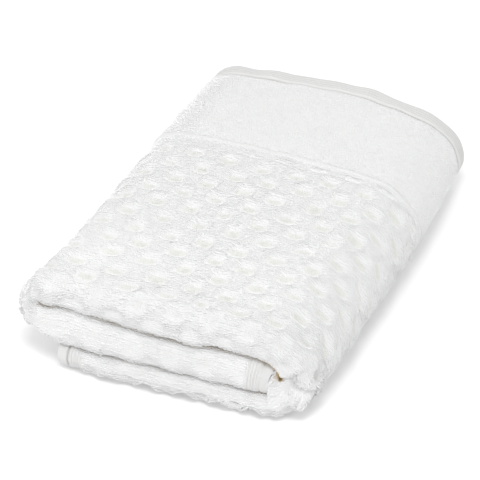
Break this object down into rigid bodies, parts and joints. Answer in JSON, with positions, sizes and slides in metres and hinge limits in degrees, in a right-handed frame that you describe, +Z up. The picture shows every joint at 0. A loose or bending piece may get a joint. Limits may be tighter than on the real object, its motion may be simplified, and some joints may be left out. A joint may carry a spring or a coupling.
{
  "type": "folded waffle bath towel",
  "caption": "Bath towel of waffle terry with a plain terry end panel and stitched hems, folded in quarters and then thirds into a soft flat pile.",
  "frame": {"origin": "centre of the towel's box on the surface it lies on", "axes": "+Z up from that surface, +Y from the rounded near folds towards the far hems, +X towards the large right fold"},
  "size_m": [0.2548, 0.3746, 0.0877],
  "materials": {
    "cotton": "soft white cotton waffle terry"
  },
  "bodies": {
    "root": {"towel_cloth": "cotton"}
  },
  "joints": []
}
